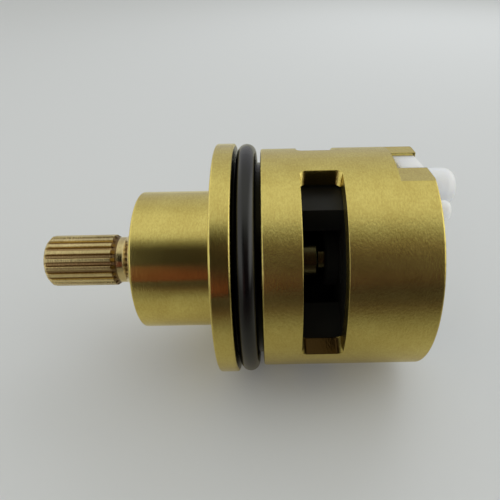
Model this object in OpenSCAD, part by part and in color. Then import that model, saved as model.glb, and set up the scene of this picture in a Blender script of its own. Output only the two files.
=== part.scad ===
// Three-outlet diverter cartridge for a built-in shower valve.
// A turned brass housing with side windows holds a splined spindle, a moulded driver
// and a pair of ceramic discs on a moulded base. Water enters through the windows,
// passes the driver's pocket and leaves through one of the three ports of the base.
// It lies along X: the spindle points to -X and the ports to +X. The origin is on the
// axis, in the flange face that seats on the valve. Sizes are in millimetres.

/* [Spindle] */
// Number of spline teeth
spline_teeth = 20; // [12:1:28]
// Diameter over the spline teeth
spline_d = 8.1; // [7:0.1:9]
// Depth of a spline tooth
spline_tooth = 0.5; // [0.3:0.05:0.7]
// Length of the splined end
spline_len = 10.7; // [6:0.1:13]
// Chamfer at the spindle's tip
tip_chamfer = 0.5; // [0.2:0.1:0.8]
// Reach of the spindle past the collar
spindle_reach = 15.2; // [14:0.1:24]
// Diameter of the relief neck behind the spline
neck_d = 7.3; // [6:0.1:7.4]
// Length of the relief neck
neck_len = 1.5; // [0.5:0.1:1.8]
// Diameter of the spindle's shaft
shaft_d = 9.6; // [9.2:0.1:10.4]
// Tapping size of the handle screw's hole
screw_hole_d = 3.3; // [2.5:0.1:4.2]
// Depth of the handle screw's hole
screw_hole_len = 11; // [6:0.5:14]
// Diameter of the shoulder inside the housing
shoulder_d = 14.4; // [13:0.1:15.2]
// Thickness of the shoulder
shoulder_t = 2.3; // [1.5:0.1:3]
// Depth of the spindle's O-ring grooves
stem_groove = 1.5; // [1.2:0.05:1.6]
// Distance from the collar's face to the first O-ring's middle
stem_ring_in = 3.4; // [2.4:0.1:4]
// Distance between the two O-rings' middles
stem_ring_pitch = 4; // [3:0.1:5]
// Diameter of the two-flat tongue that turns the driver
tongue_d = 6.8; // [6:0.1:7.4]
// Width across the tongue's flats
tongue_flats = 5; // [4:0.1:5.6]

/* [Housing] */
// Diameter of the barrel
body_d = 34; // [33:0.1:42]
// Wall of the barrel
body_wall = 2.6; // [2.2:0.1:2.8]
// Length of the barrel, from the O-ring groove to its open end
body_len = 23.3; // [23.3:0.1:28]
// Width of the O-ring groove
groove_w = 3.8; // [3.4:0.1:4.5]
// Section of the body O-ring
body_ring = 2.8; // [2.4:0.05:3]
// How far the flange stands proud of the barrel
flange_lip = 0.9; // [0.5:0.1:2]
// Thickness of the flange
flange_t = 2.8; // [2:0.1:4]
// Diameter of the collar
collar_d = 21.5; // [20:0.1:24]
// Length of the collar
collar_len = 12; // [10:0.1:16]
// Radius or chamfer on the outer edges
edge = 0.3; // [0.1:0.05:0.5]
// Thickness of the wall that closes the barrel at the groove
head_wall = 0.8; // [0.6:0.1:1.2]

/* [Windows and notches] */
// Width of a side window along the axis
window_w = 5.8; // [4.5:0.1:6.2]
// Distance from the barrel's shoulder to the windows
window_in = 5.3; // [5:0.1:5.6]
// Angle of the bars between windows
bar_angle = 23; // [15:1:50]
// Radius of the cutter that leaves the window's corners
window_corner = 0.9; // [0.6:0.1:1.6]
// Depth of the notches in the open end
notch_depth = 4.6; // [3.8:0.1:4.8]
// Depth of the flat that thins the wall around a notch
notch_flat = 1.3; // [0.6:0.05:1.4]
// Angle that the flats are turned from the bars
flat_turn = 3; // [0:0.5:6]
// Width of the slot through the wall
notch_slot = 5.8; // [4:0.1:7]
// Angle that the slots and the base's lugs are turned from the bars
key_turn = 6; // [0:0.5:7]

/* [Driver and discs] */
// Angle of the driver's side pocket
pocket_angle = 83; // [50:1:90]
// Angle of the pocket's middle, with the spindle at its first stop
pocket_at = 70; // [50:1:75]
// Angle of the port to the moving disc, with the spindle at its first stop
port_at = 60; // [50:1:70]
// Radius of the driver's inner channel
channel_r = 8.4; // [7.6:0.1:9]
// Thickness of the driver's top plate
driver_top_t = 3.2; // [3:0.1:3.4]
// Thickness of the driver's floor
driver_floor_t = 2; // [1.9:0.1:2.2]
// Height of the hub that stands on the driver's floor
hub_h = 1.95; // [1:0.05:3]
// Open gap between the spindle's shaft and that hub
hub_gap = 1.1; // [0.6:0.1:1.6]
// Depth of the driver's rim around the moving disc
rim_h = 2; // [1.4:0.1:2.2]
// Thickness of the moving disc
moving_t = 3; // [2.6:0.1:3.4]
// Thickness of the fixed disc
fixed_t = 3; // [2.6:0.1:3.4]
// Diameter of the moving disc
moving_d = 24; // [23.6:0.1:24.2]
// Angle that the spindle turns between its stops
travel = 250; // [180:5:280]
// Diameter of the stop pin
stop_pin_d = 2.5; // [2:0.1:2.6]

/* [Base and ports] */
// Thickness of the base plate
base_t = 3.5; // [3.2:0.1:4]
// How far the base lies inside the brass end
base_recess = 0.2; // [0.1:0.1:0.5]
// Radius of the circle that the ports lie on
port_at_r = 7.6; // [7.2:0.1:7.8]
// Width of a port
port_w = 3.6; // [2.8:0.1:3.8]
// Angle between the two round ends of a port
port_angle = 26; // [18:1:28]
// Wall of the kidney seals
seal_wall = 0.8; // [0.6:0.1:1]
// How far the port seals stand out of the base
seal_proud = 1.2; // [0.6:0.1:1.5]
// Diameter of the locating pegs
peg_d = 5.8; // [3:0.1:5.8]
// Height of the locating pegs
peg_h = 6; // [3:0.1:7]
// Angle that the pegs are turned from the bars
peg_turn = 12; // [0:0.5:13]
// Diameter of the key stub
stub_d = 2.9; // [2:0.1:3.4]
// Height of the key stub
stub_h = 3.6; // [2:0.1:4]
// Angle from the first peg to the key stub
stub_turn = 33; // [30:0.5:34]

/* [Clearances] */
// Gap around a shaft that turns in a bore
shaft_gap = 0.05; // [0.02:0.01:0.1]
// Gap around the driver in the barrel
driver_gap = 0.3; // [0.2:0.05:0.5]
// Gap between flat faces that slide on each other
film = 0.02; // [0.01:0.01:0.05]
// Gap around a piece that drops into its seat
seat_gap = 0.1; // [0.05:0.01:0.2]

/* [Hidden] */
$fn = 96;
cut = 1;

brass = "#b8a04a";
rubber = "#1c1c1e";
steel = "#9a9c9e";
slip_white = "#e8e8e4";
driver_black = "#232325";
ceramic = "#e6e2d8";
nylon_white = "#f2f2ee";
silicone = "#dfe4e2";

// Radii
body_r = body_d / 2;
bore_r = body_r - body_wall;
flange_r = body_r + flange_lip;
collar_r = collar_d / 2;
shaft_r = shaft_d / 2;
stem_bore_r = shaft_r + shaft_gap;
shoulder_r = shoulder_d / 2;
pit_r = shoulder_r + seat_gap;
driver_r = bore_r - driver_gap;
moving_r = moving_d / 2;
fixed_r = bore_r - 2 * seat_gap;
base_r = bore_r - seat_gap;

// Places along the axis, from the flange's seating face
collar_face = -flange_t - collar_len;
tip = collar_face - spindle_reach;
body_end = groove_w + body_len;
bore_top = groove_w + head_wall;
window_from = groove_w + window_in;
notch_from = body_end - notch_depth;
flat_from = notch_from - 0.1;
base_out = body_end - base_recess;
base_in = base_out - base_t;
fixed_from = base_in - fixed_t;
moving_to = fixed_from - film;
moving_from = moving_to - moving_t;
driver_to = moving_from - seat_gap / 2;
slip_t = 0.5;
driver_from = bore_top + slip_t + film;
pocket_from = driver_from + driver_top_t;
pocket_to = driver_to - driver_floor_t;
hub_from = pocket_to - hub_h;
shaft_end = hub_from - hub_gap;
tongue_end = driver_to - 0.8;
pit_top = -1;
shoulder_washer_t = 0.4;
shoulder_washer_from = pit_top + slip_t + film;
shoulder_from = shoulder_washer_from + shoulder_washer_t;

// Body O-ring, resting in its groove on the flange's side
body_ring_r = body_ring / 2 - film / 2;
body_groove_r = body_r + 0.8 - body_ring;
body_ring_at_r = body_groove_r + body_ring / 2 + film;
body_ring_at = groove_w / 2 - 0.15;

// Spindle O-rings, squeezed between groove and bore
stem_groove_r = shaft_r - stem_groove;
stem_groove_w = stem_groove + 0.8;
stem_ring_r = (stem_bore_r - stem_groove_r) / 2 - seat_gap / 2;
stem_ring_at_r = (stem_bore_r + stem_groove_r) / 2;
stem_ring_places = [collar_face + stem_ring_in, collar_face + stem_ring_in + stem_ring_pitch];

// Windows and ports lie at the same three angles
window_angles = [60, 180, 300];
port_angles = window_angles;
// A kidney's ends are a little flatter than a half circle
kidney_end = 1.05;
window_half = (120 - bar_angle) / 2;
cutter_half = window_half - asin(window_corner / body_r);

// Stop pin, and the arc groove that it runs in
stop_at_r = 11.3;
stop_groove_w = stop_pin_d + 2 * seat_gap;
stop_groove_t = 2.2;
stop_pin_out = 1.9;
stop_pin_in = 2.2;

// Slip rings
driver_slip_in_r = pit_r + 0.3;
driver_slip_out_r = stop_at_r - stop_groove_w / 2 - 0.2;

// Load ring between the driver's floor and the moving disc
load_groove = 1.2;
load_ring_r = (moving_from - driver_to + load_groove) / 2 - film;
load_ring_at_r = moving_r - 0.85;
load_groove_w = 2 * load_ring_r + 0.4;

// Step left in a moulding where two features meet
mould_step = 0.1;

// Dogs of the driver in the moving disc's rim, and keys of the base in the fixed disc's
dog_w = 3;
dog_depth = 1.4;
key_w = 4.4;
key_depth = 1.4;
key_h = 2;

// Kidney seals
seal_groove_in = 1.2;
seal_groove_out = 1.4;
seal_w = port_w + 2 * seal_wall;
disc_port_w = port_w + 0.2;

// Straight steps that stand for the round of an edge
edge_steps = 6;

// Pegs
peg_in = 0.05;
peg_at_r = base_r - edge - peg_in - peg_d / 2;
peg_round = 1.8;
peg_root = 0.3;
stub_at_r = peg_at_r + 0.1;
stub_round = 0.9;
peg_angles = [-peg_turn, 240 - peg_turn];
flat_angles = [-flat_turn, 180 - flat_turn];
notch_angles = [-key_turn, 180 - key_turn];
lug_w = notch_slot - 3 * seat_gap;
lug_top = body_r - notch_flat - 2 * seat_gap;

// Lays a piece down. Inside, z runs along the spindle and x points up.
module lay() {
    rotate([0, 90, 0]) rotate([0, 0, 180]) children();
}

// Turns a profile of [radius, place along the axis] points
module turned(profile) {
    rotate_extrude() polygon(profile);
}

module ring(in_r, out_r, from, t) {
    translate([0, 0, from]) difference() {
        cylinder(r = out_r, h = t);
        translate([0, 0, -cut]) cylinder(r = in_r, h = t + 2 * cut);
    }
}

module o_ring(at_r, section_r, at) {
    translate([0, 0, at]) rotate_extrude() translate([at_r, 0]) circle(r = section_r, $fn = 48);
}

// A wedge from the axis out past radius r, between two angles
module wedge(r, from_angle, to_angle, from, t) {
    steps = ceil((to_angle - from_angle) / 30);
    rim = [for (i = [0 : steps]) let (a = from_angle + (to_angle - from_angle) * i / steps)
        1.1 * r * [cos(a), sin(a)]];
    translate([0, 0, from]) linear_extrude(t) polygon(concat([[0, 0]], rim));
}

// An arc-shaped slot with rounded ends, around the axis
module kidney(at_r, w, angle, from, t) {
    intersection() {
        ring(at_r - w / 2, at_r + w / 2, from, t);
        union() {
            wedge(at_r + w, -angle / 2, angle / 2, from - cut, t + 2 * cut);
            for (side = [-1, 1]) rotate([0, 0, side * angle / 2])
                translate([at_r, 0, from - cut]) cylinder(d = kidney_end * w, h = t + 2 * cut);
        }
    }
}

// A round bar with two flats
module two_flats(d, flats, from, to) {
    translate([0, 0, from]) intersection() {
        cylinder(d = d, h = to - from);
        translate([-flats / 2, -d, 0]) cube([flats, 2 * d, to - from]);
    }
}

// A moulded peg, rounded over at its free end and filleted at its root. Its foot is in the plate.
module round_peg(d, round_r, h) {
    r = d / 2;
    translate([0, 0, -edge]) rotate_extrude() {
        square([r, edge + h - round_r]);
        square([r - round_r, edge + h]);
        translate([r - round_r, edge + h - round_r]) intersection() {
            circle(r = round_r, $fn = 48);
            square(round_r);
        }
        difference() {
            square([r + peg_root, edge + peg_root]);
            translate([r + peg_root, edge + peg_root]) circle(r = peg_root, $fn = 48);
        }
    }
}

// What a radial end mill leaves at one end of a window
module window_end() {
    reach = body_r + cut;
    straight = window_w - 2 * window_corner;
    for (z = [window_corner, window_w - window_corner])
        translate([0, 0, z]) rotate([0, 90, 0]) cylinder(r = window_corner, h = reach);
    translate([0, -window_corner, window_corner]) cube([reach, 2 * window_corner, straight]);
}

module window() {
    translate([0, 0, window_from]) {
        wedge(body_r, -cutter_half, cutter_half, 0, window_w);
        for (side = [-1, 1]) rotate([0, 0, side * cutter_half]) window_end();
    }
}

// Flat that a side mill leaves on the open end
module end_flat() {
    translate([body_r - notch_flat, -body_r, flat_from])
        cube([body_r, 2 * body_r, body_end - flat_from + cut]);
}

// Slot that takes a lug of the base
module end_slot() {
    translate([0, -notch_slot / 2, notch_from]) cube([body_r + cut, notch_slot, notch_depth + cut]);
}

// Outline of an outer edge that starts a cylinder of radius r at place z, and of one that ends it
function starting_edge(r, z) = [for (i = [0 : edge_steps]) let (a = 90 * i / edge_steps)
    [r - edge + edge * sin(a), z + edge - edge * cos(a)]];
function ending_edge(r, z) = [for (i = [0 : edge_steps]) let (a = 90 * i / edge_steps)
    [r - edge + edge * cos(a), z - edge + edge * sin(a)]];

module housing() {
    mouth = 0.3;
    color(brass) lay() difference() {
        turned(concat(
            [[stem_bore_r, collar_face + mouth], [stem_bore_r + mouth, collar_face]],
            starting_edge(collar_r, collar_face),
            [[collar_r, -flange_t]],
            starting_edge(flange_r, -flange_t),
            ending_edge(flange_r, 0),
            [[body_groove_r, 0], [body_groove_r, groove_w]],
            starting_edge(body_r, groove_w),
            ending_edge(body_r, body_end),
            [[bore_r + mouth, body_end], [bore_r, body_end - mouth], [bore_r, bore_top]],
            [[pit_r, bore_top], [pit_r, pit_top], [stem_bore_r, pit_top]]
        ));
        for (a = window_angles) rotate([0, 0, a]) window();
        for (a = flat_angles) rotate([0, 0, a]) end_flat();
        for (a = notch_angles) rotate([0, 0, a]) end_slot();
        translate([stop_at_r, 0, bore_top - stop_pin_in])
            cylinder(d = stop_pin_d + film, h = stop_pin_in + cut);
    }
}

module body_o_ring() {
    color(rubber) lay() o_ring(body_ring_at_r, body_ring_r, body_ring_at);
}

// Outline of the spline: flat-topped teeth with sloping flanks
module spline_outline() {
    pitch = 360 / spline_teeth;
    top = spline_d / 2;
    root = top - spline_tooth;
    polygon([for (i = [0 : spline_teeth - 1]) for (p = [[-0.34, 0], [-0.2, 1], [0.2, 1], [0.34, 0]])
        let (a = (i + p[0]) * pitch, r = root + p[1] * spline_tooth) r * [cos(a), sin(a)]]);
}

module spindle() {
    spline_end = tip + spline_len;
    neck_end = spline_end + neck_len;
    countersink = 0.4;
    cone_end = neck_end + (shaft_d - neck_d) / 2;
    color(brass) lay() difference() {
        union() {
            intersection() {
                translate([0, 0, tip]) linear_extrude(spline_len + edge) spline_outline();
                turned([
                    [0, tip],
                    [spline_d / 2 - tip_chamfer, tip],
                    [spline_d / 2, tip + tip_chamfer],
                    [spline_d / 2, spline_end - edge],
                    [neck_d / 2, spline_end + edge],
                    [0, spline_end + edge]
                ]);
            }
            turned([
                [0, spline_end],
                [neck_d / 2, spline_end],
                [neck_d / 2, neck_end],
                [shaft_r, cone_end],
                [shaft_r, shoulder_from],
                [shoulder_r - edge, shoulder_from],
                [shoulder_r, shoulder_from + edge],
                [shoulder_r, shoulder_from + shoulder_t - edge],
                [shoulder_r - edge, shoulder_from + shoulder_t],
                [shaft_r, shoulder_from + shoulder_t],
                [shaft_r, shaft_end - edge],
                [shaft_r - edge, shaft_end],
                [0, shaft_end]
            ]);
            two_flats(tongue_d, tongue_flats, shaft_end - edge, tongue_end);
        }
        translate([0, 0, tip - cut]) cylinder(d = screw_hole_d, h = screw_hole_len + cut);
        translate([0, 0, tip - countersink])
            cylinder(r1 = screw_hole_d / 2 + 2 * countersink, r2 = screw_hole_d / 2, h = 2 * countersink);
        for (place = stem_ring_places)
            ring(stem_groove_r, shaft_r + cut, place - stem_groove_w / 2, stem_groove_w);
    }
}

module spindle_o_ring_outer() {
    color(rubber) lay() o_ring(stem_ring_at_r, stem_ring_r, stem_ring_places[0]);
}

module spindle_o_ring_inner() {
    color(rubber) lay() o_ring(stem_ring_at_r, stem_ring_r, stem_ring_places[1]);
}

module shoulder_slip_ring() {
    color(slip_white) lay() ring(shaft_r + seat_gap, shoulder_r, pit_top, slip_t);
}

module shoulder_washer() {
    color(steel) lay()
        ring(shaft_r + shaft_gap, shoulder_r - seat_gap, shoulder_washer_from, shoulder_washer_t);
}

module stop_pin() {
    color(steel) lay() translate([stop_at_r, 0, bore_top - stop_pin_in])
        cylinder(d = stop_pin_d, h = stop_pin_in + stop_pin_out);
}

module driver_slip_ring() {
    color(slip_white) lay() ring(driver_slip_in_r, driver_slip_out_r, bore_top, slip_t);
}

module driver() {
    rim_end = driver_to + rim_h;
    rim_in_r = moving_r + seat_gap;
    color(driver_black) lay() difference() {
        union() {
            difference() {
                turned([
                    [stem_bore_r, driver_from],
                    [driver_r - edge, driver_from],
                    [driver_r, driver_from + edge],
                    [driver_r, rim_end],
                    [rim_in_r, rim_end],
                    [rim_in_r, driver_to],
                    [0, driver_to],
                    [0, hub_from],
                    [shaft_r - edge, hub_from],
                    [shaft_r, hub_from + edge],
                    [shaft_r, pocket_to],
                    [channel_r, pocket_to],
                    [channel_r, pocket_from],
                    [stem_bore_r, pocket_from]
                ]);
                // Side pocket, open to the windows
                rotate([0, 0, pocket_at]) difference() {
                    wedge(driver_r + cut, -pocket_angle / 2, pocket_angle / 2, pocket_from + mould_step,
                        pocket_to - pocket_from - 2 * mould_step);
                    translate([0, 0, pocket_from])
                        cylinder(r = (channel_r + shaft_r) / 2, h = pocket_to - pocket_from);
                }
            }
            // Dogs that turn the moving disc
            for (i = [0 : 2]) rotate([0, 0, port_at + 60 + 120 * i])
                translate([moving_r - dog_depth, -dog_w / 2, driver_to - edge])
                    cube([dog_depth + 2 * seat_gap, dog_w, rim_h + edge - mould_step]);
        }
        // Port down to the moving disc
        rotate([0, 0, port_at]) kidney(port_at_r, disc_port_w, port_angle, pocket_to - cut,
            driver_floor_t + 2 * cut);
        // Socket for the spindle's tongue
        two_flats(tongue_d + 2 * shaft_gap, tongue_flats + 2 * shaft_gap, hub_from - cut,
            tongue_end + seat_gap);
        // Groove for the load ring
        ring(load_ring_at_r - load_groove_w / 2, load_ring_at_r + load_groove_w / 2,
            driver_to - load_groove, load_groove + edge);
        // Arc groove for the stop pin, with drilled ends
        rotate([0, 0, -travel / 2]) {
            intersection() {
                ring(stop_at_r - stop_groove_w / 2, stop_at_r + stop_groove_w / 2,
                    driver_from - cut, stop_groove_t + cut);
                wedge(driver_r, -travel / 2, travel / 2, driver_from - 2 * cut, stop_groove_t + 3 * cut);
            }
            for (side = [-1, 1]) rotate([0, 0, side * travel / 2])
                translate([stop_at_r, 0, driver_from - cut])
                    cylinder(d = stop_groove_w + seat_gap, h = stop_groove_t + mould_step + cut);
        }
    }
}

module disc_load_ring() {
    color(rubber) lay() o_ring(load_ring_at_r, load_ring_r, moving_from - film / 2 - load_ring_r);
}

module moving_disc() {
    color(ceramic) lay() difference() {
        translate([0, 0, moving_from]) cylinder(r = moving_r, h = moving_t);
        rotate([0, 0, port_at]) kidney(port_at_r, disc_port_w, port_angle, moving_from - cut,
            moving_t + 2 * cut);
        for (i = [0 : 2]) rotate([0, 0, port_at + 60 + 120 * i])
            translate([moving_r - dog_depth - seat_gap, -dog_w / 2 - seat_gap, moving_from - cut])
                cube([moving_r, dog_w + 2 * seat_gap, rim_h + cut + seat_gap]);
    }
}

module fixed_disc() {
    color(ceramic) lay() difference() {
        translate([0, 0, fixed_from]) cylinder(r = fixed_r, h = fixed_t);
        for (a = port_angles) rotate([0, 0, a])
            kidney(port_at_r, disc_port_w, port_angle, fixed_from - cut, fixed_t + 2 * cut);
        for (a = [90, 270]) rotate([0, 0, a])
            translate([fixed_r - key_depth, -key_w / 2 - seat_gap, base_in - key_h - seat_gap])
                cube([fixed_r, key_w + 2 * seat_gap, key_h + cut + seat_gap]);
    }
}

module kidney_seal(from, t) {
    difference() {
        kidney(port_at_r, seal_w, port_angle, from, t);
        kidney(port_at_r, port_w, port_angle, from - cut, t + 2 * cut);
    }
}

module disc_seal(index) {
    color(silicone) lay() rotate([0, 0, port_angles[index]])
        kidney_seal(base_in + film, seal_groove_in - 2 * film);
}

module disc_seal_1() { disc_seal(0); }
module disc_seal_2() { disc_seal(1); }
module disc_seal_3() { disc_seal(2); }

module port_seal(index) {
    color(silicone) lay() rotate([0, 0, port_angles[index]])
        kidney_seal(base_out - seal_groove_out + film, seal_groove_out + seal_proud - film);
}

module port_seal_1() { port_seal(0); }
module port_seal_2() { port_seal(1); }
module port_seal_3() { port_seal(2); }

module base_plate() {
    gate_r = 2.2;
    gate_t = 0.8;
    color(nylon_white) lay() difference() {
        union() {
            turned([
                [0, base_in],
                [base_r, base_in],
                [base_r, base_out - edge],
                [base_r - edge, base_out],
                [0, base_out]
            ]);
            // Lugs that fill the notches of the housing
            for (a = notch_angles) rotate([0, 0, a])
                translate([base_r - cut, -lug_w / 2, base_in + mould_step])
                    cube([lug_top - base_r + cut, lug_w, base_t - 2 * mould_step]);
            // Keys that hold the fixed disc
            for (a = [90, 270]) rotate([0, 0, a]) intersection() {
                translate([fixed_r - key_depth + seat_gap, -key_w / 2, base_in - key_h])
                    cube([key_depth, key_w, key_h + edge]);
                translate([0, 0, base_in - key_h]) cylinder(r = fixed_r, h = key_h + edge);
            }
            for (a = peg_angles) rotate([0, 0, a])
                translate([peg_at_r, 0, base_out]) round_peg(peg_d, peg_round, peg_h);
            rotate([0, 0, stub_turn - peg_turn])
                translate([stub_at_r, 0, base_out]) round_peg(stub_d, stub_round, stub_h);
        }
        for (a = port_angles) rotate([0, 0, a]) {
            kidney(port_at_r, port_w, port_angle, base_in - cut, base_t + 2 * cut);
            kidney(port_at_r, seal_w + film, port_angle, base_in - cut, seal_groove_in + cut);
            kidney(port_at_r, seal_w + film, port_angle, base_out - seal_groove_out, seal_groove_out + cut);
        }
        translate([0, 0, base_out - gate_t]) cylinder(r = gate_r, h = gate_t + cut);
    }
}

housing();
body_o_ring();
spindle();
spindle_o_ring_outer();
spindle_o_ring_inner();
shoulder_slip_ring();
shoulder_washer();
stop_pin();
driver_slip_ring();
driver();
disc_load_ring();
moving_disc();
fixed_disc();
disc_seal_1();
disc_seal_2();
disc_seal_3();
base_plate();
port_seal_1();
port_seal_2();
port_seal_3();
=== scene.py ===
"""A brass diverter cartridge on a pale floor: the finishes, the light and the camera.

Lengths are in metres unless a name ends in _mm or a comment says millimetres. The cartridge lies
along X, with its splined spindle towards -X and its ports towards +X.
"""
import math

import bpy
from mathutils import Matrix, Vector


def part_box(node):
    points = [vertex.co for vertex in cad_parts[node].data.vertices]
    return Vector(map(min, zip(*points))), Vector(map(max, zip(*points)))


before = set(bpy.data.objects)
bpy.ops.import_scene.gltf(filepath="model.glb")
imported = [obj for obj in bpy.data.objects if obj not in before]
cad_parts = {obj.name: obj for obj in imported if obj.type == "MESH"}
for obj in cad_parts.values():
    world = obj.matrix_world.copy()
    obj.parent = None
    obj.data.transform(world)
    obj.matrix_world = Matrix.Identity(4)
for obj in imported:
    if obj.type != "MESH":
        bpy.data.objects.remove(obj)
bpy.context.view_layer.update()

MM = 0.001
FLOOR_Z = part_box("housing")[0].z


# Colours and nodes

def linear(hex_colour):
    """An sRGB hex colour as linear red, green, blue and alpha."""
    parts = [int(hex_colour[i:i + 2], 16) / 255 for i in (1, 3, 5)]
    return tuple(c / 12.92 if c <= 0.04045 else ((c + 0.055) / 1.055) ** 2.4
                 for c in parts) + (1,)


def feed(node, links):
    """Gives a node's inputs their values, or what feeds them: an output, or a node, whose first
    output in use is taken."""
    for name, value in links.items():
        if isinstance(value, bpy.types.Node):
            value = next(output for output in value.outputs if output.enabled)
        if isinstance(value, bpy.types.NodeSocket):
            node.id_data.links.new(value, node.inputs[name])
        else:
            node.inputs[name].default_value = value


def add(tree, kind, links=None, **settings):
    """Adds a node with its settings, and feeds its inputs."""
    made = tree.nodes.new("ShaderNode" + kind)
    for name, value in settings.items():
        setattr(made, name, value)
    feed(made, links or {})
    return made


def new_material(name, **sockets):
    """A material with its shader's own values, and the tree and shader to build on."""
    material = bpy.data.materials.new(name)
    material.use_nodes = True
    tree = material.node_tree
    shader = tree.nodes["Principled BSDF"]
    for socket, value in sockets.items():
        shader.inputs[socket.replace("_", " ")].default_value = value
    return material, tree, shader


def position_mm(tree):
    """Where a point lies on its piece, in millimetres."""
    place = add(tree, "TexCoord").outputs["Object"]
    return add(tree, "VectorMath", {0: place, "Scale": 1 / MM}, operation="SCALE")


def around_axis(tree, place):
    """A point's coordinates, its offset from the axis, and its distance from the axis."""
    axes = add(tree, "SeparateXYZ", {0: place}).outputs
    across = add(tree, "CombineXYZ", {"Y": axes["Y"], "Z": axes["Z"]})
    radius = add(tree, "VectorMath", {0: across}, operation="LENGTH")
    return axes, across, radius


def set_stops(ramp, stops):
    """Gives a colour ramp its stops, as pairs of a place and a colour."""
    elements = ramp.color_ramp.elements
    elements.remove(elements[-1])
    elements[0].position, elements[0].color = stops[0]
    for place, colour in stops[1:]:
        elements.new(place).color = colour


# Finishes

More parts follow.
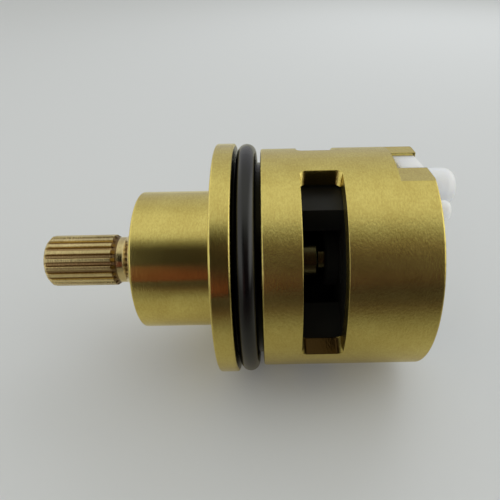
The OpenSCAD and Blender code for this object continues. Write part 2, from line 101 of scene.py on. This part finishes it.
def turned_brass(name, colour, dark, feed_mm, roughness, stain, shade_bands, bright, window_shade=0.0):
    """Lathe-turned brass, deburred in a tumbler. The tool leaves fine rings, so reflections blur
    across them and stay crisp along them, and the stones leave a fine matt grain. Handling leaves
    faint stains. shade_bands lists places painted darker as shade, in recesses and inside the
    housing: the start and end of each along X and its inner and outer radius, in millimetres, and
    its tone. bright is the start and end along X, in millimetres, of a stretch that is finished
    brighter, and its roughness, so it mirrors more crisply there. window_shade says how strongly
    the milled faces in the windows are painted darker brown as shade, most where they look up."""
    material, tree, shader = new_material(name, Metallic=1.0, Anisotropic=0.6)
    place = position_mm(tree)
    axes, across, radius = around_axis(tree, place)
    outward = add(tree, "VectorMath", {0: across}, operation="NORMALIZE")
    # The way around the axis, and how squarely a face looks along it, as only milled faces do
    circled = add(tree, "VectorMath", {0: (1, 0, 0), 1: across}, operation="CROSS_PRODUCT")
    around = add(tree, "VectorMath", {0: circled}, operation="NORMALIZE")
    worn_edge_mm = 0.2
    edged = add(tree, "Bevel", {"Radius": worn_edge_mm * MM}, samples=6)
    facing = add(tree, "VectorMath", {0: edged, 1: around}, operation="DOT_PRODUCT")
    square = add(tree, "Math", {0: facing}, operation="ABSOLUTE")
    milled = add(tree, "MapRange", {"Value": square, "From Min": 0.6, "From Max": 0.95})
    # The rounded corners of a milled pocket look partly along the axis. The stones round them over,
    # so their normals lean outwards.
    looks = add(tree, "SeparateXYZ", {0: edged}).outputs
    lengthways = add(tree, "Math", {0: looks["X"]}, operation="ABSOLUTE")
    endways = add(tree, "MapRange", {"Value": lengthways, "From Min": 0.15, "From Max": 0.4})
    sideways = add(tree, "MapRange", {"Value": square, "From Min": 0.2, "From Max": 0.45})
    cornered = add(tree, "Math", {0: endways, 1: sideways}, operation="MULTIPLY")
    most_lean = 1.3
    lean = add(tree, "Math", {0: cornered, 1: most_lean}, operation="MULTIPLY")
    lifted = add(tree, "VectorMath", {0: outward, "Scale": lean}, operation="SCALE")
    leant = add(tree, "VectorMath", {0: edged, 1: lifted}, operation="ADD")
    eased = add(tree, "VectorMath", {0: leant}, operation="NORMALIZE")
    # Rings, drawn out around the axis: close together along the profile, long around it
    streak_mm = 1.2
    along_profile = add(tree, "Math", {0: axes["X"], 1: radius}, operation="ADD")
    ring_step = add(tree, "Math", {0: along_profile, 1: 1 / feed_mm}, operation="MULTIPLY")
    apart = add(tree, "CombineXYZ", {"X": ring_step})
    stretched = add(tree, "VectorMath", {0: across, "Scale": 1 / streak_mm}, operation="SCALE")
    ring_place = add(tree, "VectorMath", {0: apart, 1: stretched}, operation="ADD")
    rings = add(tree, "TexNoise", {"Vector": ring_place, "Scale": 1.0, "Detail": 2.0,
                                   "Roughness": 0.6})
    # Stains and dull patches, some millimetres wide, and the grain of the stones. The real grain
    # is too fine to show, so it is drawn coarser.
    patch_mm = 4.0
    patches = add(tree, "TexNoise", {"Vector": place, "Scale": 1 / patch_mm, "Detail": 4.0,
                                     "Roughness": 0.6})
    grain_mm = (0.22, 0.42, 0.42)
    grain_place = add(tree, "VectorMath", {0: place, 1: grain_mm}, operation="DIVIDE")
    grain = add(tree, "TexNoise", {"Vector": grain_place, "Scale": 1.0, "Detail": 1.0})
    # How far the rings and the grain, at most, take the colour towards the dark one
    ring_tone = 0.1
    grain_tone = 0.17
    ringed = add(tree, "MapRange", {"Value": rings, "From Min": 0.35, "From Max": 0.65,
                                    "To Max": ring_tone})
    grained = add(tree, "MapRange", {"Value": grain, "From Min": 0.35, "From Max": 0.7,
                                     "To Max": grain_tone})
    stained = add(tree, "MapRange", {"Value": patches, "From Min": 0.35, "From Max": 0.75,
                                     "To Max": stain})
    marked = add(tree, "Math", {0: ringed, 1: grained}, operation="ADD")
    darkness = add(tree, "Math", {0: marked, 1: stained}, operation="ADD", use_clamp=True)
    worked = add(tree, "Mix", {"Factor": darkness, "A": linear(colour), "B": linear(dark)},
                 data_type="RGBA")
    # Painted shade: the milled faces in the windows are browned, and darker still where they look
    # up
    windows_end_mm = 16.0
    painted_shade_share = 0.45
    windowed = add(tree, "Math", {0: axes["X"], 1: windows_end_mm}, operation="LESS_THAN")
    milled_in_window = add(tree, "Math", {0: milled, 1: windowed}, operation="MULTIPLY")
    window_shaded = add(tree, "Math", {0: milled_in_window, 1: window_shade}, operation="MULTIPLY")
    brown_shade_factor = add(tree, "Math", {0: window_shaded, 1: painted_shade_share}, operation="MULTIPLY")
    painted_brown_shade = add(tree, "Mix", {"Factor": brown_shade_factor, "A": worked, "B": linear("#8a6a34")},
                  data_type="RGBA")
    upward = add(tree, "MapRange", {"Value": looks["Z"], "From Min": 0.5, "From Max": 0.8})
    painted_upward_shade = add(tree, "Math", {0: window_shaded, 1: upward}, operation="MULTIPLY")
    finished = add(tree, "Mix", {"Factor": painted_upward_shade, "A": painted_brown_shade, "B": linear("#3f2f17")},
                   data_type="RGBA")
    # Painted shade: each band takes the colour to its tone, as shade in a recess or inside the
    # housing
    for shade_from, shade_to, shade_low, shade_high, shade_tone in shade_bands:
        in_shade_band = 1.0
        for value, test, limit in [(axes["X"], "GREATER_THAN", shade_from),
                                   (axes["X"], "LESS_THAN", shade_to),
                                   (radius, "GREATER_THAN", shade_low),
                                   (radius, "LESS_THAN", shade_high)]:
            within = add(tree, "Math", {0: value, 1: limit}, operation=test)
            in_shade_band = add(tree, "Math", {0: in_shade_band, 1: within}, operation="MULTIPLY")
        finished = add(tree, "Mix", {"Factor": in_shade_band, "A": finished, "B": linear(shade_tone)},
                       data_type="RGBA")
    # The stretch that is finished brighter, where less grain is left, and the smooth milled faces
    bright_from, bright_to, bright_roughness = bright
    blend_mm = 0.3
    bright_grain = 0.3
    milled_roughness = 0.2
    started = add(tree, "MapRange", {"Value": axes["X"], "From Min": bright_from,
                                     "From Max": bright_from + blend_mm})
    unfinished = add(tree, "MapRange", {"Value": axes["X"], "From Min": bright_to + blend_mm,
                                        "From Max": bright_to})
    brightened = add(tree, "Math", {0: started, 1: unfinished}, operation="MULTIPLY")
    blurred = add(tree, "MapRange", {"Value": brightened, "To Min": roughness,
                                     "To Max": bright_roughness})
    dulled = add(tree, "Mix", {"Factor": milled, "A": blurred, "B": milled_roughness})
    graininess = add(tree, "MapRange", {"Value": brightened, "To Min": 1.0,
                                        "To Max": bright_grain})
    ring_depth_mm = 0.004
    grain_depth_mm = 0.022
    ring_bump = add(tree, "Bump", {"Height": rings, "Strength": 1.0,
                                   "Distance": ring_depth_mm * MM, "Normal": eased})
    bumped = add(tree, "Bump", {"Height": grain, "Strength": graininess,
                                "Distance": grain_depth_mm * MM, "Normal": ring_bump})
    # The way that reflections blur: along the profile, or along the axis on a milled face, where
    # the profile gives no direction
    axis_lean = (0.05, 0, 0)
    profile = add(tree, "VectorMath", {0: edged, 1: around}, operation="CROSS_PRODUCT")
    blur = add(tree, "VectorMath", {0: profile, 1: axis_lean}, operation="ADD")
    feed(shader, {"Base Color": finished, "Roughness": dulled, "Normal": bumped, "Tangent": blur})
    return material


def moulded(name, colour, roughness, ior, grain_mm, grain_depth_mm, mottle, matt_within=0.0,
            **sockets):
    """A moulding, in plastic or rubber. It has the fine grain of its mould, and a slightly uneven
    tone and gloss. Nearer the axis than matt_within, in millimetres, its mould was left coarse,
    so it shines less."""
    material, tree, shader = new_material(name, Roughness=roughness, IOR=ior, **sockets)
    place = position_mm(tree)
    moulded_edge_mm = 0.15
    edged = add(tree, "Bevel", {"Radius": moulded_edge_mm * MM}, samples=6)
    grain = add(tree, "TexNoise", {"Vector": place, "Scale": 1 / grain_mm, "Detail": 3.0})
    bumped = add(tree, "Bump", {"Height": grain, "Strength": 1.0,
                                "Distance": grain_depth_mm * MM, "Normal": edged})
    flow_mm = 3.0
    flow = add(tree, "TexNoise", {"Vector": place, "Scale": 1 / flow_mm, "Detail": 2.0})
    tone = add(tree, "MapRange", {"Value": flow, "From Min": 0.3, "From Max": 0.7,
                                  "To Min": 1 - mottle, "To Max": 1 + mottle})
    toned = add(tree, "VectorMath", {0: linear(colour)[:3], "Scale": tone}, operation="SCALE")
    gloss_mottle = 0.04
    dull = add(tree, "MapRange", {"Value": flow, "From Min": 0.3, "From Max": 0.7,
                                  "To Min": roughness - gloss_mottle,
                                  "To Max": roughness + gloss_mottle})
    coarse_roughness = 0.85
    radius = around_axis(tree, place)[2]
    coarse = add(tree, "Math", {0: radius, 1: matt_within}, operation="LESS_THAN")
    rough = add(tree, "Mix", {"Factor": coarse, "A": dull, "B": coarse_roughness})
    feed(shader, {"Base Color": toned, "Roughness": rough, "Normal": bumped})
    return material


def ground_steel():
    """Centreless-ground steel. Fine scratches run around it, so its highlight spreads along the
    axis."""
    material, tree, shader = new_material("ground_steel", Metallic=1.0, Roughness=0.28,
                                          Anisotropic=0.5, Anisotropic_Rotation=0.25)
    scratch_mm = 0.12
    scratches = add(tree, "TexNoise", {"Vector": position_mm(tree), "Scale": 1 / scratch_mm,
                                       "Detail": 2.0})
    tone = add(tree, "Mix", {"Factor": scratches, "A": linear("#c9c9cb"), "B": linear("#a9aaae")},
               data_type="RGBA")
    feed(shader, {"Base Color": tone})
    return material


def lapped_alumina():
    """Alumina ceramic, lapped flat and polished. It is dense off-white and nearly glossy, with
    grey specks."""
    material, tree, shader = new_material("lapped_alumina", Roughness=0.15, IOR=1.76)
    speck_mm = 0.25
    specks = add(tree, "TexNoise", {"Vector": position_mm(tree), "Scale": 1 / speck_mm,
                                    "Detail": 2.0})
    specked = add(tree, "MapRange", {"Value": specks, "From Min": 0.55, "From Max": 0.75})
    tone = add(tree, "Mix", {"Factor": specked, "A": linear("#e9e5dc"), "B": linear("#cfc9bd")},
               data_type="RGBA")
    feed(shader, {"Base Color": tone})
    return material


# Places painted darker as shade, in recesses and inside the housing: from and to along X, inner and
# outer radius, in millimetres, and the tone
o_ring_groove = (-0.02, 3.82, 0.0, 17.55, "#1c1a12")
spline_run_out = (-19.6, -18.8, 3.4, 4.2, "#7d6544")
spline_gaps = (-29.7, -19.6, 3.3, 3.78, "#ab9166")
inner_end_shade = (8.0, 16.0, 0.0, 6.0, "#6a6446")
# Stretches that are finished brighter: from and to along X, in millimetres, and the roughness
collar_and_flange = (-15.2, -0.3, 0.16)
neck = (-18.8, -14.0, 0.1)

# Yellow brass for the housing, and a paler, more stained bar for the spindle. Both get painted
# shade in their bands, the housing also on its milled window faces
housing_brass = turned_brass(
    "turned_brass", "#eedd85", "#a98630", feed_mm=0.22, roughness=0.27, stain=0.22,
    shade_bands=[o_ring_groove], bright=collar_and_flange, window_shade=1.0)
spindle_brass = turned_brass(
    "rolled_spindle_brass", "#e2cf98", "#8f7a4e", feed_mm=0.18, roughness=0.22, stain=0.3,
    shade_bands=[spline_run_out, spline_gaps, inner_end_shade], bright=neck)
# Nitrile rubber from a polished mould: deep black, with a soft sheen
nitrile = moulded(
    "moulded_nitrile_rubber", "#040405", roughness=0.22, ior=1.57,
    grain_mm=0.12, grain_depth_mm=0.002, mottle=0.15)
# Black acetal: satin on the drum's outer face, dull in its pocket
black_acetal = moulded(
    "moulded_black_acetal", "#121210", roughness=0.45, ior=1.4,
    grain_mm=0.15, grain_depth_mm=0.003, mottle=0.1, matt_within=14.05)
# White acetal: milky, because light goes some millimetres into it
white_acetal = moulded(
    "moulded_white_acetal", "#e8ebf0", roughness=0.36, ior=1.48,
    grain_mm=0.3, grain_depth_mm=0.003, mottle=0.02, Subsurface_Weight=0.9,
    Subsurface_Scale=3.5 * MM, Subsurface_Radius=(1.0, 0.95, 0.85))
# Slip rings skived from a fluoroplastic rod: waxy white, hardly glossy
slip_plastic = moulded(
    "skived_slip_plastic", "#e9e9e5", roughness=0.5, ior=1.35,
    grain_mm=0.2, grain_depth_mm=0.002, mottle=0.02)
# Silicone rubber: pale and cloudy, with a satin skin
silicone = moulded(
    "moulded_silicone", "#dde3e0", roughness=0.45, ior=1.41,
    grain_mm=0.3, grain_depth_mm=0.002, mottle=0.02, Subsurface_Weight=0.3,
    Subsurface_Scale=0.8 * MM)
steel = ground_steel()
alumina = lapped_alumina()

FINISHES = {
    housing_brass: ["housing"],
    spindle_brass: ["spindle"],
    nitrile: ["body_o_ring", "spindle_o_ring_outer", "spindle_o_ring_inner", "disc_load_ring"],
    steel: ["stop_pin", "shoulder_washer"],
    slip_plastic: ["shoulder_slip_ring", "driver_slip_ring"],
    black_acetal: ["driver"],
    alumina: ["moving_disc", "fixed_disc"],
    silicone: ["disc_seal_1", "disc_seal_2", "disc_seal_3",
               "port_seal_1", "port_seal_2", "port_seal_3"],
    white_acetal: ["base_plate"],
}
for material, names in FINISHES.items():
    for name in names:
        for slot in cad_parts[name].material_slots:
            slot.material = material


# Floor and light

SHEET = "#d5d8db"
SHEET_REACH_MM = 200
# Painted shade on the sheet, seen only in reflections: the light left on it by millimetres in front
# of the axis, warm, then reddish
SHEET_PAINTED_SHADE = [(0, "#e9e5d4"), (12, "#e5dfce"), (20, "#dad5c5"), (28, "#cac5b6"), (42, "#aaa699"),
              (53, "#8d867a"), (76, "#67574c"), (100, "#4c3a34"), (150, "#352824"),
              (200, "#291e1d")]

# The room's tone by height, in degrees over the horizon in front: dark ahead, soft light
# overhead, a paler wall behind
ROOM = [(-180, "#b6b6b8"), (-120, "#8a8a8a"), (-60, "#302a2a"), (0, "#241f21"), (12, "#3e2a26"),
        (24, "#382b28"), (38, "#463730"), (46, "#625349"), (54, "#7c796f"), (63, "#a0a094"),
        (73, "#c8c8be"), (85, "#dadad1"), (108, "#dadad1"), (126, "#cbcbc5"), (145, "#c0c0c2"),
        (180, "#b6b6b8")]


def plane(name, corners, material):
    mesh = bpy.data.meshes.new(name)
    mesh.from_pydata([Vector(c) for c in corners], [], [(0, 1, 2, 3)])
    mesh.materials.append(material)
    made = bpy.data.objects.new(name, mesh)
    bpy.context.scene.collection.objects.link(made)


def pale_matt_sheet():
    """A pale matt sheet. In reflections only, a painted shadow darkens it towards the front, and
    painted light lifts it towards the left."""
    material, tree, shader = new_material("pale_matt_sheet", Roughness=0.9)
    axes = add(tree, "SeparateXYZ", {0: position_mm(tree)}).outputs
    ahead = add(tree, "Math", {0: axes["Y"], 1: -1.0}, operation="MULTIPLY")
    reached = add(tree, "MapRange", {"Value": ahead, "From Min": 0.0, "From Max": SHEET_REACH_MM})
    sheet_shade_ramp = add(tree, "ValToRGB", {"Fac": reached})
    set_stops(sheet_shade_ramp, [(at_mm / SHEET_REACH_MM, linear(left)) for at_mm, left in SHEET_PAINTED_SHADE])
    # Painted light, in reflections: up to a quarter brighter towards the left
    leftward = add(tree, "MapRange", {"Value": axes["X"], "From Min": -16.0, "From Max": 20.0,
                                      "To Min": 1.25, "To Max": 1.0})
    sheet_shaded = add(tree, "VectorMath", {0: sheet_shade_ramp, "Scale": leftward}, operation="SCALE")
    # Painted light, in reflections: well to the left, by millimetres aside per millimetre ahead,
    # the painted shade gives way to a paler tone
    slope = add(tree, "Math", {0: axes["X"], 1: ahead}, operation="DIVIDE")
    aside = add(tree, "MapRange", {"Value": slope, "From Min": -0.37, "From Max": -0.52})
    sheet_painted_light = add(tree, "Mix", {"Factor": aside, "A": sheet_shaded, "B": linear("#b4b0a4")},
              data_type="RGBA", blend_type="LIGHTEN")
    dimmed = add(tree, "Mix", {"Factor": 1.0, "A": linear(SHEET), "B": sheet_painted_light},
                 data_type="RGBA", blend_type="MULTIPLY")
    mirrored = add(tree, "LightPath").outputs["Is Glossy Ray"]
    shown = add(tree, "Mix", {"Factor": mirrored, "A": linear(SHEET), "B": dimmed},
                data_type="RGBA")
    feed(shader, {"Base Color": shown})
    return material


FLOOR_HALF = 2.0
plane("floor", [(-FLOOR_HALF, -FLOOR_HALF, FLOOR_Z), (FLOOR_HALF, -FLOOR_HALF, FLOOR_Z),
                (FLOOR_HALF, FLOOR_HALF, FLOOR_Z), (-FLOOR_HALF, FLOOR_HALF, FLOOR_Z)],
      pale_matt_sheet())


def build_room():
    """The room that the metal mirrors. way is a direction's X, Y and Z, and height its angle over
    the horizon in front. The camera itself sees a plain pale backdrop."""
    world = bpy.data.worlds.new("soft_room")
    bpy.context.scene.world = world
    world.use_nodes = True
    tree = world.node_tree
    tree.nodes.clear()
    way = add(tree, "SeparateXYZ", {0: add(tree, "TexCoord").outputs["Generated"]}).outputs
    ahead = add(tree, "Math", {0: way["Y"], 1: -1.0}, operation="MULTIPLY")
    height = add(tree, "Math", {0: way["Z"], 1: ahead}, operation="ARCTAN2")
    turned = add(tree, "MapRange", {"Value": height, "From Min": -math.pi, "From Max": math.pi})
    ramp = add(tree, "ValToRGB", {"Fac": turned})
    set_stops(ramp, [(degrees / 360 + 0.5, linear(tone)) for degrees, tone in ROOM])
    # A reddish thing stands low in front, taller further to the left
    middle = math.radians(6.5)
    least_half, most_half = math.radians(3), math.radians(18)
    half = add(tree, "MapRange", {"Value": way["X"], "From Min": -0.1, "From Max": -0.24,
                                  "To Min": least_half, "To Max": most_half})
    over_middle = add(tree, "Math", {0: height, 1: middle}, operation="SUBTRACT")
    off_middle = add(tree, "Math", {0: over_middle}, operation="ABSOLUTE")
    outside = add(tree, "Math", {0: off_middle, 1: half}, operation="SUBTRACT")
    inside = add(tree, "MapRange", {"Value": outside, "From Min": math.radians(3),
                                    "From Max": math.radians(-2)})
    leftward = add(tree, "MapRange", {"Value": way["X"], "From Min": 0.0, "From Max": -0.12})
    reddish = add(tree, "Math", {0: inside, 1: leftward}, operation="MULTIPLY")
    warmed = add(tree, "Mix", {"Factor": reddish, "A": ramp, "B": linear("#663a30")},
                 data_type="RGBA")
    # Above it, on the left, something dark reaches higher than elsewhere
    over = add(tree, "MapRange", {"Value": height, "From Min": math.radians(22),
                                  "From Max": math.radians(30)})
    under = add(tree, "MapRange", {"Value": height, "From Min": math.radians(70),
                                   "From Max": math.radians(50)})
    between = add(tree, "Math", {0: over, 1: under}, operation="MULTIPLY")
    shaded = add(tree, "Math", {0: between, 1: leftward}, operation="MULTIPLY")
    darkened = add(tree, "Mix", {"Factor": shaded, "A": warmed, "B": linear("#211d16")},
                   data_type="RGBA")
    # Bright walls at both sides, darker towards the floor. The right one faces the daylight.
    right_wall = add(tree, "MapRange", {"Value": way["X"], "From Min": 0.58, "From Max": 0.85})
    left_wall = add(tree, "MapRange", {"Value": way["X"], "From Min": -0.34, "From Max": -0.5})
    walls = add(tree, "Math", {0: left_wall, 1: right_wall}, operation="MAXIMUM")
    raised = add(tree, "MapRange", {"Value": way["Z"], "From Min": -0.1, "From Max": 0.3})
    wall_tone = add(tree, "Mix", {"Factor": raised, "A": linear("#8f8f8a"),
                                  "B": linear("#fbfbf6")}, data_type="RGBA")
    daylight = add(tree, "MapRange", {"Value": way["X"], "From Min": -0.5, "From Max": 0.5,
                                      "To Min": 0.9, "To Max": 1.6})
    bright = add(tree, "VectorMath", {0: wall_tone, "Scale": daylight}, operation="SCALE")
    room = add(tree, "Mix", {"Factor": walls, "A": darkened, "B": bright}, data_type="RGBA")
    seen = add(tree, "LightPath").outputs["Is Camera Ray"]
    shown = add(tree, "Mix", {"Factor": seen, "A": room, "B": linear("#d6d8da")},
                data_type="RGBA")
    background = add(tree, "Background", {"Color": shown, "Strength": 1.0})
    add(tree, "OutputWorld", {"Surface": background})


build_room()


def softbox(name, place, target, size, power, tint):
    """A square lamp that looks at target. Its power is in watts, and metal doesn't mirror it."""
    data = bpy.data.lights.new(name, "AREA")
    data.size = size
    data.energy = power
    data.color = tint
    made = bpy.data.objects.new(name, data)
    bpy.context.scene.collection.objects.link(made)
    made.location = place
    made.rotation_euler = (Vector(target) - Vector(place)).to_track_quat("-Z", "Y").to_euler()
    made.visible_glossy = False


# The lamps light what is matt. The metal mirrors the room instead.
softbox("back_softbox", place=(0.16, 0.3, 0.25), target=(0.0, 0.05, 0.0), size=0.3, power=0.36,
        tint=(0.96, 0.98, 1.0))
softbox("front_softbox", place=(-0.1, -0.5, 0.18), target=(0.0, 0.0, 0.0), size=0.5, power=1.05,
        tint=(1.0, 0.98, 0.94))


# Camera

def place_camera():
    """The photograph's view: from the front, looking down on the axis, a hand's width away."""
    look_down = math.radians(36)
    roll = math.radians(-1.1)
    from_axis = 74.5 * MM
    camera_x = 4.86 * MM
    image_px = 500
    focal_px = 460
    centre_px = (269.4, 256.7)
    data = bpy.data.cameras.new("camera")
    data.sensor_width = 36
    data.lens = focal_px / image_px * data.sensor_width
    data.shift_x = (image_px / 2 - centre_px[0]) / image_px
    data.shift_y = (centre_px[1] - image_px / 2) / image_px
    data.clip_start = 5 * MM
    data.clip_end = 10.0
    made = bpy.data.objects.new("camera", data)
    bpy.context.scene.collection.objects.link(made)
    made.matrix_world = (Matrix.Translation((camera_x, -from_axis * math.cos(look_down),
                                             from_axis * math.sin(look_down)))
                         @ Matrix.Rotation(math.pi / 2 - look_down, 4, "X")
                         @ Matrix.Rotation(roll, 4, "Z"))
    bpy.context.scene.camera = made


place_camera()
bpy.context.scene.view_settings.view_transform = "Standard"
